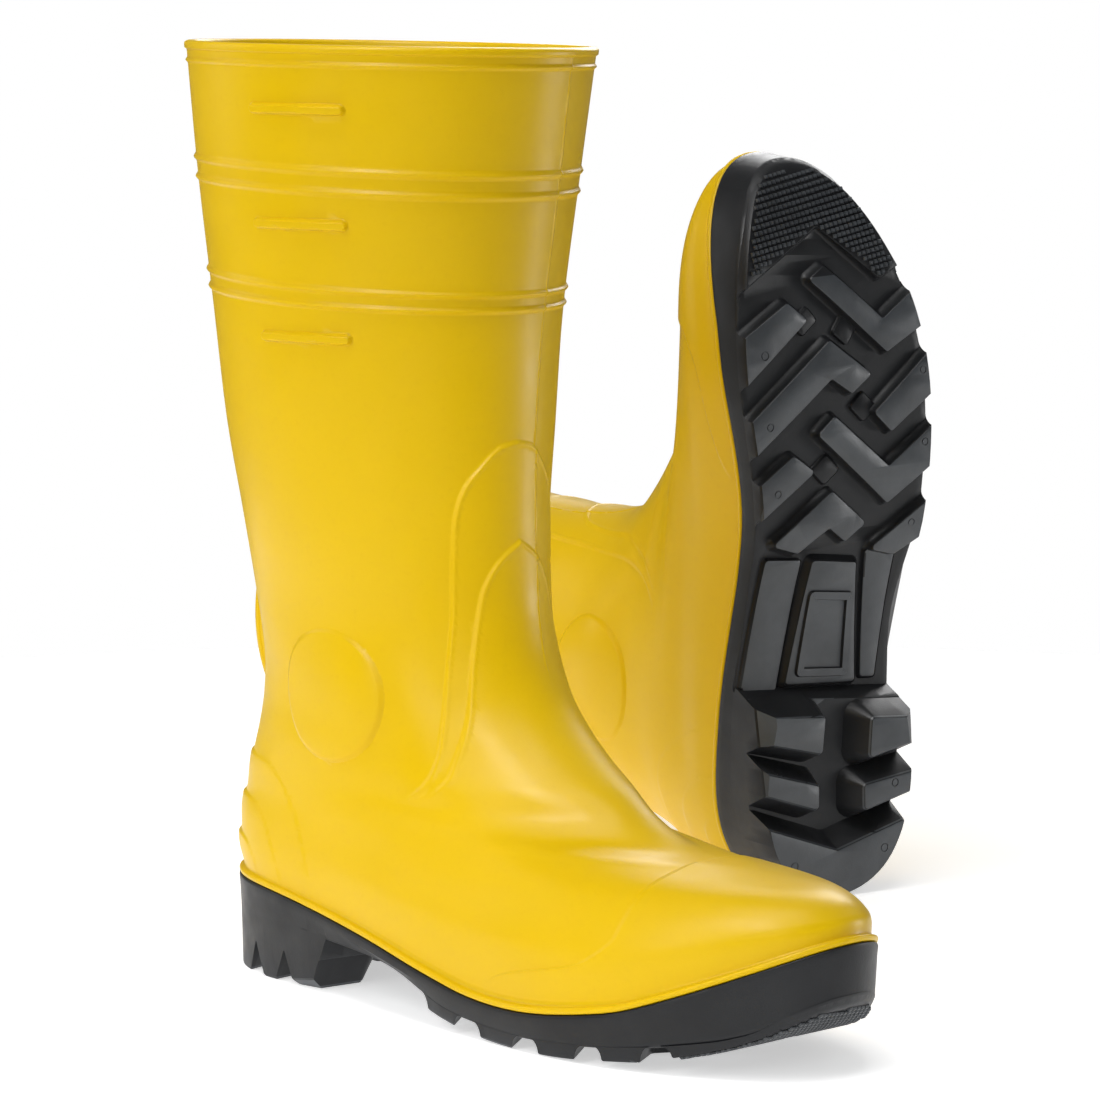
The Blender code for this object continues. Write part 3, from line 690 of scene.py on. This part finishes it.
def ring_groove(x, y, radius):
    """A tool that cuts a thin round mark into a tread face."""
    depth, within = 0.35, radius - 0.4
    z = float(tread(x))
    bm = bmesh.new()
    rings = [[bm.verts.new((x + r * math.cos(t), y + r * math.sin(t), z + h)) for t in turns(20)]
             for r, h in ((radius, -0.6), (radius, depth), (within, depth), (within, -0.6))]
    bridge(bm, rings + rings[:1])
    return bm


def inside(outline, x, y):
    """Whether points lie inside a plan outline."""
    hit = np.zeros(np.shape(x), bool)
    for (ax, ay), (bx, by) in zip(outline, np.roll(outline, -1, 0)):
        cross = (ay > y) != (by > y)
        with np.errstate(divide="ignore", invalid="ignore"):
            hit ^= cross & (x < ax + (y - ay) * (bx - ax) / (by - ay))
    return hit


def studs():
    """Small blunt pyramids all over the toe pad."""
    pitch, turn, rim = 2.35, math.radians(8), 6.2
    pad = spread(rounded(TOE_PAD, 1.0), -1.3)
    bm = bmesh.new()
    for i in range(-20, 30):
        for j in range(-24, 24):
            x = 280 + pitch * (i * math.cos(turn) - j * math.sin(turn))
            y = 2 + pitch * (i * math.sin(turn) + j * math.cos(turn))
            v = min(max((x - SOLE_BACK - SEAT_INSET) / (SOLE_FRONT - SOLE_BACK - 2 * SEAT_INSET), 0), 1)
            a = math.acos(1 - 2 * v)
            middle = SOLE_TOE_SHIFT * smooth(v)
            reach_out = middle - (half_width(SOLE_OUTER, SOLE_INNER, a) - rim) * math.sin(a)
            reach_in = middle + (half_width(SOLE_OUTER, SOLE_INNER, -a) - rim) * math.sin(a)
            if x > 303 or not reach_out < y < reach_in or not inside(pad, x, y):
                continue
            foot = np.array([x, y, float(tread(x))])
            slope = float(tread(x + 1) - tread(x - 1)) / 2
            up = unit(np.array([slope, 0, -1.0]))
            side = np.array([0, 1.0, 0])
            ahead = np.cross(side, up)
            rings = [[bm.verts.new(foot + up * rise + ahead * half * p + side * half * q)
                      for p, q in ((-1, -1), (1, -1), (1, 1), (-1, 1))]
                     for half, rise in ((0.95, -0.5), (0.9, 0.0), (0.55, 0.75))]
            bm.faces.new(rings[0])
            bm.faces.new(rings[-1])
            bridge(bm, rings)
    bmesh.ops.recalc_face_normals(bm, faces=bm.faces)
    return bm


def outsole_mesh():
    """The sole: its cup and wall, the lugs, the heel with its notches, the shank and the studded toe."""
    ring = turns(SOLE_COLUMNS)

    def level(inset, profile, lift=0.0):
        return sole_level(ring, inset, profile, lift)

    x = sole_ring(0, ring)[0]
    waist = 5.0 * bell((x - 114) / 42) * smooth(np.sin(ring) * 4)
    toe = 0.5 * smooth((x - 236) / 45)
    base = solid(ring_body([
        level(WALL, CUP_FLOOR), level(WALL, WALL_TOP, -0.4), level(WALL - 0.4, WALL_TOP),
        level(0.9, WALL_TOP), level(0.45, WALL_TOP, -0.15), level(0.15, WALL_TOP, -0.5),
        level(0, WALL_TOP, -1.2), level(0.25, WALL_TOP, -3.5),
        level(0.85 + waist + 0.6 * toe, UNDERSIDE, 0.8 + 3.6 * toe),
        level(1.05 + waist + 1.9 * toe, UNDERSIDE, 0.3 + 1.5 * toe),
        level(1.6 + waist + 3.2 * toe, UNDERSIDE, 0.3 * toe), level(4.6 + waist + 3 * toe, UNDERSIDE)]))
    outside = [level(0.5, UNDERSIDE, 5.0), level(0.83 + waist + 0.6 * toe, UNDERSIDE, 0.8 + 3.6 * toe),
               level(1.3 + waist + 2.6 * toe, TREAD, 0.8 + toe), level(2.0 + waist + 3.6 * toe, TREAD, -0.1),
               level(9, TREAD, -5)]
    blocks = [lug(plan, off_underside(0.6), tread, 3.4) for plan in LUGS]
    blocks.append(lug(TOE_PAD, lambda x: underside(x) + 0.6 + 3 * smooth((x - 285) / 20),
                      lambda x: tread(x) + 0.3, 4.0))
    blocks.append(lug(HEEL_OUTLINE, off_underside(2.0), lambda x: HEEL_PLATE, 4.8, hollow=False))
    blocks += [lug(plan, lambda x: HEEL_PLATE + 1.5, lambda x: tread(np.minimum(x, 20)), 6.5, hollow=False)
               for plan in HEEL_BLOCKS]
    blocks = [combine(solid(block), solid(ring_body(outside)), "INTERSECT") for block in blocks]
    root = off_underside(0.8)
    more = [lug(plan, root, off_underside(-2.0), 2.2, bevel=0.8) for plan in WINGS]
    more.append(lug(SHANK, root, off_underside(-3.4), 3.0, hollow=False, bevel=0.7))
    more.append(border(FRAME, 3.2, off_underside(-2.9), off_underside(-4.7)))
    more += [lug(plan, root, off_underside(-1.3), 1.6) for plan in BRIDGES]
    for block in blocks + [solid(part) for part in more]:
        base = combine(base, block, "UNION")
    for pin in PINS:
        base = combine(base, solid(ring_groove(*pin)), "DIFFERENCE")
    bm = bmesh.new()
    bm.from_mesh(base.data)
    bmesh.ops.triangulate(bm, faces=[f for f in bm.faces if len(f.verts) > 4])
    extra = bpy.data.meshes.new("studs")
    points = studs()
    points.to_mesh(extra)
    points.free()
    bm.from_mesh(extra)
    mesh = base.data
    bm.to_mesh(mesh)
    bm.free()
    bpy.data.meshes.remove(extra)
    bpy.data.objects.remove(base)

    # a lighter, bluish look goes on what touches the ground: lugs, plates of the shank, and studs at the toe;
    # it is partly dust and wear and partly painted sheen, lighting the block tops against the darker groove
    # sides
    x, z, up = [np.array([getattr(face, kind)[axis] for face in mesh.polygons])
                for kind, axis in (("center", 0), ("center", 2), ("normal", 2))]
    ground = (z < tread(x) + 0.9) & (up < -0.6)
    plates = (x > SHANK_BACK) & (x < SHANK_FRONT) & (z < underside(x) - 1.2) & (up < -0.85)
    stud = z < tread(x) - 0.06
    pad_edge = ground & (x < PAD_BACK + 6) & (z < tread(x) + 0.2)
    # painted sheen and dust: these faces take the lighter second material
    dusty_and_lit = np.where(x > PAD_BACK, stud | pad_edge, ground | plates)
    mesh.polygons.foreach_set("material_index", dusty_and_lit.astype(np.int32))
    return mesh


# ---- lining, insole and heel cushion

FLOOR_OF_LINING = GAP + SHELL - 0.2 + GAP + PLATE + GAP
FOOTBED = FLOOR_OF_LINING + LINING + GAP


def heel_cup(x):
    """How much the footbed is cupped: full at the heel, none before the arch."""
    return smooth((105 - x) / 55)


def sock_mesh():
    """The knitted sock that lines the boot, with a folded hem and a seam down the back."""
    ring = turns(COLUMNS)
    top = TOP - 0.28
    hem_rows = top - np.array([0, 0.01, 0.025, 0.05, 0.09, 0.13, 0.15, 0.165, 0.18, 0.21])
    rows = np.concatenate([hem_rows, np.linspace(top - 0.3, 8, 34), np.linspace(7.8, 0.3, 42)])

    def wall(u, thick):
        at = np.ones(COLUMNS) * u
        x = shell_point(at, ring)[..., 0]
        hem = 0.55 * smooth((u - top + 0.17) / 0.02) * smooth((top - u + 0.012) / 0.02)
        from_back = np.abs(np.angle(np.exp(1j * ring))) * 55
        seam = 0.6 * bell(from_back / 1.6) * smooth(u / 0.5)
        stitch = 0.22 * (1 - smooth(np.abs(from_back - 2.6) / 0.9)) * smooth(u / 0.5)
        crease = 0.25 * math.sin(u * 9.0) * bell((u - 6.2) / 2.2) * bell((ring - math.pi) / 1.1)
        extra = (LINING + hem + seam - stitch + crease) * thick
        return shell_offset(at, ring, SHELL + LINING_GAP + toe_room(x) + extra)

    edge = WALL + GAP + SHELL + LINING_GAP
    outer = [sole_level(ring, edge, CUP_FLOOR, FLOOR_OF_LINING, True),
             sole_level(ring, edge, WALL_TOP, 2.0, True)]
    outer += [wall(u, 0.0) for u in rows[::-1]]
    inner = [wall(u, 1.0) for u in rows]
    floor = FLOOR_OF_LINING + LINING
    inner += [sole_level(ring, edge + LINING + inset, profile, lift, True)
              for inset, profile, lift in ((0.2, WALL_TOP, 3.0), (0.2, CUP_FLOOR, floor + 1.2),
                                           (0.5, CUP_FLOOR, floor + 0.4), (1.3, CUP_FLOOR, floor))]
    verts, faces = loft(outer + inner)
    return weld(verts, faces, np.zeros_like(verts))[0]


def insole_mesh():
    """The loose foam insole: stitched edge, cupped heel and a raised arch."""
    count, across = 144, 16
    ring = turns(count)
    inset = WALL + GAP + SHELL + LINING_GAP + LINING + 1.8

    def contour(x, side):
        cup = 1.6 * heel_cup(x) * side**2
        arch = 3.2 * bell((x - 128) / 55) * smooth((side - 0.15) / 0.8)
        pad = 0.9 * bell((x - 190) / 34) * bell(side / 0.9)
        return cup + arch + pad

    edges = ((0.4, 0, 0), (0.1, 0.3, 0), (0, 0.8, 0), (0, INSOLE - 1.1, 0.9), (0.15, INSOLE - 0.6, 1),
             (0.5, INSOLE - 0.2, 1), (1.1, INSOLE, 1), (2.6, INSOLE, 1), (2.9, INSOLE - 0.3, 1),
             (3.3, INSOLE - 0.3, 1), (3.6, INSOLE, 1))
    rings = []
    for shift, lift, lifted in edges:
        points = sole_level(ring, inset + shift, CUP_FLOOR, FOOTBED + lift, True)
        points[:, 2] += lifted * contour(points[:, 0], -np.sin(ring))
        rings.append(points)
    verts, faces = loft(rings, closed=False)
    faces += cap_faces(0, count)
    verts = list(verts)
    last, half = (len(rings) - 1) * count, count // 2
    rows = [[last] * (across + 1)]
    for j in range(1, half):
        a, b = verts[last + j], verts[last + count - j]
        base = [a[2] - contour(a[0], -math.sin(ring[j])), b[2] - contour(b[0], math.sin(ring[j]))]
        row = [last + j]
        for k in range(1, across):
            t = k / across
            x, y = a[0] + (b[0] - a[0]) * t, a[1] + (b[1] - a[1]) * t
            side = math.sin(ring[j]) * (2 * t - 1)
            verts.append(np.array([x, y, base[0] + (base[1] - base[0]) * t + contour(x, side)]))
            row.append(len(verts) - 1)
        rows.append(row + [last + count - j])
    rows.append([last + half] * (across + 1))
    for low, high in zip(rows[:-1], rows[1:]):
        faces += [(low[k], high[k], high[k + 1], low[k + 1]) for k in range(across)]
    verts = np.array(verts)
    return weld(verts, faces, np.zeros_like(verts))[0]


def cushion_mesh():
    """The soft oval pad in the heel of the insole, crowned, with rings pressed into it."""
    ring = turns(72)

    def level(r, lift):
        x, y = 42 - 26 * r * np.cos(ring), -22 * r * np.sin(ring)
        z = height(CUP_FLOOR, x) + FOOTBED + INSOLE + 0.35 + lift + 1.6 * (y / 45)**2 * heel_cup(x)
        return np.stack([x, y, z], -1)

    rings = [level(0.95, 0), level(0.985, 0.12), level(1.0, 0.45), level(1.0, HEEL_CUSHION - 1.0),
             level(0.985, HEEL_CUSHION - 0.7), level(0.95, HEEL_CUSHION - 0.45)]
    for r in np.linspace(0.93, 0.06, 40):
        ripple = 0.14 * math.cos(r * 2 * math.pi * 5.5) * smooth(r / 0.3)
        rings.append(level(r, HEEL_CUSHION - 0.35 + 0.7 * (1 - r * r) + ripple))
    verts, faces = loft(rings)
    return weld(verts, faces, np.zeros_like(verts))[0]


# ---- materials

def connect(tree, value, socket):
    """Feeds a socket from another one, or with a plain value."""
    if isinstance(value, bpy.types.NodeSocket):
        tree.links.new(value, socket)
    else:
        socket.default_value = value


def node(tree, kind, inputs=None, **settings):
    made = tree.nodes.new("ShaderNode" + kind)
    for key, value in settings.items():
        setattr(made, key, value)
    for key, value in (inputs or {}).items():
        connect(tree, value, made.inputs[key])
    return made


class Look:
    """A small builder for a node material."""

    def __init__(self, name, colour, roughness, **values):
        self.material = bpy.data.materials.new(name)
        self.material.use_nodes = True
        self.tree = self.material.node_tree
        self.shader = self.tree.nodes["Principled BSDF"]
        self.set("Base Color", (*colour, 1))
        self.set("Roughness", roughness)
        for key, value in values.items():
            self.set(key.replace("_", " "), value)
        self.place = self.node("TexCoord").outputs["Object"]

    def set(self, socket, value):
        connect(self.tree, value, self.shader.inputs[socket])

    def node(self, kind, inputs=None, **settings):
        return node(self.tree, kind, inputs, **settings)

    def noise(self, scale, detail=4.0, rough=0.5, stretch=None):
        place = self.place
        if stretch:
            place = self.node("Mapping", {"Vector": place, "Scale": stretch}).outputs[0]
        return self.node("TexNoise", {"Vector": place, "Scale": scale, "Detail": detail,
                                      "Roughness": rough}).outputs["Fac"]

    def ramp(self, value, low, high, to_low, to_high):
        return self.node("MapRange", {"Value": value, "From Min": low, "From Max": high,
                                      "To Min": to_low, "To Max": to_high}).outputs["Result"]

    def mix(self, factor, a, b):
        made = self.node("Mix", data_type="RGBA")
        for index, value in ((0, factor), (6, a), (7, b)):
            connect(self.tree, (*value, 1) if isinstance(value, tuple) else value, made.inputs[index])
        return made.outputs[2]

    def tones(self, value, low, high, a, b):
        self.set("Base Color", self.mix(self.ramp(value, low, high, 0, 1), a, b))

    def dull(self, value, low, high, a, b):
        self.set("Roughness", self.ramp(value, low, high, a, b))

    def bumps(self, *layers):
        """Bumps as (height, distance, strength), each on top of the one before it."""
        inputs = {}
        for height, distance, strength in layers:
            inputs.update({"Height": height, "Distance": distance, "Strength": strength})
            inputs["Normal"] = self.node("Bump", inputs).outputs[0]
        self.set("Normal", inputs["Normal"])


def pvc():
    look = Look("yellow_pvc_moulded", (0.76, 0.445, 0.002), 0.33, Specular_IOR_Level=0.18,
                Subsurface_Weight=0.05, Subsurface_Scale=0.004, Subsurface_Radius=(1.0, 0.55, 0.1))
    broad = look.noise(9, 3)
    colour = look.mix(look.ramp(broad, 0.35, 0.7, 0, 1), (0.765, 0.495, 0.001), (0.705, 0.452, 0.001))
    specks = look.noise(420, 3)
    colour = look.mix(look.ramp(specks, 0.55, 0.8, 0, 0.12), colour, (0.60, 0.34, 0.004))
    look.set("Base Color", colour)
    look.dull(look.noise(60, 4), 0.3, 0.7, 0.30, 0.40)
    look.bumps((look.noise(28, 2), 0.0006, 0.35), (look.noise(1500, 3), 0.00006, 0.5))
    return look.material


def rubber():
    look = Look("black_sole_moulded", (0.016, 0.017, 0.019), 0.42, Specular_IOR_Level=0.26)
    look.tones(look.noise(30, 4), 0.3, 0.75, (0.009, 0.0095, 0.011), (0.016, 0.017, 0.019))
    look.dull(look.noise(90, 5), 0.3, 0.7, 0.34, 0.48)
    look.bumps((look.noise(120, 3), 0.0003, 0.35), (look.noise(1800, 3), 0.00008, 0.6))
    return look.material


def tread_rubber():
    # lighter and bluer than the wall's rubber: partly dust, partly painted sheen on the tread's faces
    look = Look("black_sole_tread", (0.045, 0.05, 0.056), 0.42, Specular_IOR_Level=0.5)
    look.tones(look.noise(24, 5, 0.6), 0.32, 0.68, (0.030, 0.034, 0.039), (0.058, 0.065, 0.073))
    look.dull(look.noise(110, 5), 0.3, 0.7, 0.33, 0.50)
    look.bumps((look.noise(150, 3), 0.0003, 0.35), (look.noise(1700, 3), 0.00008, 0.6))
    return look.material


def steel(name, tone):
    look = Look(name, tone, 0.34, Metallic=1.0)
    streak = look.noise(40, 5, 0.6, (1, 14, 1))
    look.tones(streak, 0.3, 0.7, tone, tuple(t * 0.78 for t in tone))
    look.dull(streak, 0.3, 0.7, 0.26, 0.44)
    look.bumps((look.noise(700, 4), 0.00005, 0.5))
    return look.material


def strip_rubber():
    look = Look("cap_strip_soft", (0.05, 0.05, 0.055), 0.75)
    look.set("Base Color", look.mix(look.noise(200, 4), (0.04, 0.04, 0.045), (0.08, 0.08, 0.085)))
    look.dull(look.noise(300, 4), 0.3, 0.7, 0.65, 0.85)
    look.bumps((look.noise(900, 3), 0.0002, 0.6))
    return look.material


def knit():
    look = Look("lining_knit", (0.72, 0.68, 0.58), 0.92, Sheen_Weight=0.35, Sheen_Roughness=0.5)
    ribs = look.node("TexWave", {"Vector": look.place, "Scale": 120.0, "Distortion": 2.0, "Detail": 2.0},
                     wave_type="BANDS", bands_direction="DIAGONAL").outputs["Fac"]
    cells = look.node("TexVoronoi", {"Vector": look.place, "Scale": 650.0}).outputs["Distance"]
    tuft = look.node("Math", {0: ribs, 1: cells}, operation="MULTIPLY").outputs[0]
    look.tones(tuft, 0.0, 0.5, (0.50, 0.46, 0.38), (0.78, 0.74, 0.64))
    look.dull(cells, 0, 0.6, 0.98, 0.86)
    look.bumps((tuft, 0.0006, 0.9))
    return look.material


def insole_cloth():
    look = Look("insole_felt", (0.55, 0.55, 0.53), 0.95, Sheen_Weight=0.3, Sheen_Roughness=0.6)
    fibres = look.noise(500, 6, 0.7, (1, 3, 1))
    specks = look.node("TexVoronoi", {"Vector": look.place, "Scale": 900.0}).outputs["Distance"]
    look.tones(fibres, 0.3, 0.7, (0.40, 0.40, 0.39), (0.64, 0.64, 0.61))
    look.dull(specks, 0, 0.7, 0.9, 1.0)
    look.bumps((fibres, 0.0005, 0.8))
    return look.material


def gel():
    look = Look("cushion_soft", (0.78, 0.62, 0.16), 0.55, Coat_Weight=0.1, Coat_Roughness=0.4)
    look.tones(look.noise(80, 4), 0.3, 0.7, (0.80, 0.64, 0.17), (0.68, 0.52, 0.12))
    look.dull(look.noise(200, 4), 0.3, 0.7, 0.45, 0.65)
    look.bumps((look.noise(500, 3), 0.0003, 0.6))
    return look.material


# ---- build

LOOKS = {
    "pvc": pvc(), "rubber": rubber(), "tread": tread_rubber(),
    "cap": steel("cap_steel_plate", (0.56, 0.57, 0.58)), "plate": steel("midsole_steel", (0.50, 0.51, 0.53)),
    "strip": strip_rubber(), "knit": knit(), "insole": insole_cloth(), "gel": gel(),
}

shell, shell_normals = shell_mesh()
for side in SIDES:
    place(shell, side + "_shell", side, side + "_boot", "yellow_pvc", LOOKS["pvc"],
          replaces=(side + "_upper",), normals=shell_normals)

sole = outsole_mesh()
for side in SIDES:
    place(sole, side + "_sole", side, side + "_boot", "black_sole", LOOKS["rubber"],
          replaces=(side + "_outsole",), sharp=32, second=LOOKS["tread"])

for make, part, body, slot, look in ((sock_mesh, "lining", "_boot", "lining_textile", "knit"),
                                     (insole_mesh, "insole", "_footbed", "insole_foam", "insole"),
                                     (cushion_mesh, "heel_cushion", "_footbed", "cushion_gel", "gel")):
    soft = make()
    for side in SIDES:
        piece = place(soft, side + "_" + part + "_detailed", side, side + body, slot, LOOKS[look],
                      replaces=(side + "_" + part,))

for part, look in (("toe_cap", "cap"), ("cap_strip", "strip"), ("midsole_plate", "plate")):
    for side in SIDES:
        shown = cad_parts[side + "_" + part]
        for index in range(len(shown.material_slots)):
            shown.material_slots[index].material = LOOKS[look]

# ---- stage, light and camera

def stage():
    """A round sheet of paper in a white studio."""
    x, y, radius, count = 0.05, 0.12, 0.85, 96
    edge = [(x + radius * math.cos(t), y + radius * math.sin(t), 0) for t in turns(count)]
    mesh = mesh_of(edge + [(x, y, 0)], [(i, (i + 1) % count, count) for i in range(count)], "floor")
    floor = add("floor", mesh)
    look = Look("floor_paper", (0.93, 0.93, 0.93), 0.95, Specular_IOR_Level=0.1)
    look.set("Emission Color", (1, 1, 1, 1))
    look.set("Emission Strength", 0.52)
    mesh.materials.append(look.material)

    # the world is bright behind the boots and dimmer in front of them; the camera sees it white
    world = bpy.data.worlds.new("studio")
    world.use_nodes = True
    tree = world.node_tree
    lit = tree.nodes["Background"]
    seen = node(tree, "Background")
    path = node(tree, "LightPath").outputs
    where = node(tree, "TexCoord").outputs["Generated"]
    ahead = node(tree, "VectorMath", {0: where, 1: (-0.25, 0.95, 0.1)}, operation="DOT_PRODUCT")
    level = node(tree, "MapRange", {"Value": ahead.outputs["Value"], "From Min": -0.35, "From Max": 0.95,
                                    "To Min": 0.14, "To Max": 0.4})
    # reflections see darker walls than the open floor does
    dim = node(tree, "Math", {0: path["Is Glossy Ray"], 1: -0.65, 2: 1.0}, operation="MULTIPLY_ADD")
    power = node(tree, "Math", {0: dim.outputs[0], 1: level.outputs["Result"]}, operation="MULTIPLY")
    connect(tree, power.outputs[0], lit.inputs["Strength"])
    for background in (lit, seen):
        background.inputs["Color"].default_value = (1, 1, 1, 1)
    mixed = node(tree, "MixShader", {0: path["Is Camera Ray"], 1: lit.outputs[0], 2: seen.outputs[0]})
    connect(tree, mixed.outputs[0], tree.nodes["World Output"].inputs[0])
    bpy.context.scene.world = world
    bpy.context.scene.view_settings.view_transform = "Standard"


def lamp(name, place, aim, size, power, tint=(1, 1, 1), diffuse=True):
    data = bpy.data.lights.new(name, "AREA")
    data.shape = "RECTANGLE"
    data.size, data.size_y = size
    data.energy = power
    data.color = tint
    made = add(name, data)
    made.location = place
    made.rotation_euler = (Vector(aim) - Vector(place)).to_track_quat("-Z", "Y").to_euler()
    made.visible_diffuse = diffuse
    made.visible_camera = False


def camera():
    """The photo's viewpoint, from a fit to the contours of both boots."""
    yaw, pitch = math.radians(47.042), math.radians(6.5636)
    ahead = Vector((-math.sin(yaw) * math.cos(pitch), math.cos(yaw) * math.cos(pitch), -math.sin(pitch)))
    data = bpy.data.cameras.new("camera")
    data.sensor_width = 36
    data.lens = 139.39
    data.clip_start, data.clip_end = 0.05, 50
    made = add("camera", data)
    made.location = (1.2563, -1.0286, 0.3449)
    made.rotation_mode = "QUATERNION"
    made.rotation_quaternion = ahead.to_track_quat("-Z", "Y")
    bpy.context.scene.camera = made


stage()
lamp("key", (0.1, -1.55, 1.0), (0.08, 0.05, 0.12), (0.6, 1.7), 15)
lamp("left", (-1.25, -0.72, 0.7), (0.05, 0.15, 0.18), (0.7, 1.1), 4.4)
lamp("front", (1.15, -1.35, 0.75), (0.1, 0.15, 0.15), (0.7, 0.7), 4)
lamp("top", (0.35, -0.25, 1.7), (0.2, 0.0, 0.05), (0.9, 0.7), 12)
lamp("window", (0.43, -0.86, 1.32), (0.144, -0.013, 0.095), (0.12, 0.45), 13, diffuse=False)
lamp("gleam", (1.25, 0.85, 0.10), (0.07, 0.24, 0.12), (0.8, 0.2), 0.4, (0.9, 0.96, 1.0), diffuse=False)
lamp("rim", (0.85, 1.3, 0.16), (0.28, 0.02, 0.05), (0.35, 0.25), 4.5, diffuse=False)
lamp("back", (-0.45, 1.06, 0.86), (0.27, 0.02, 0.06), (0.9, 0.6), 11, diffuse=False)
camera()
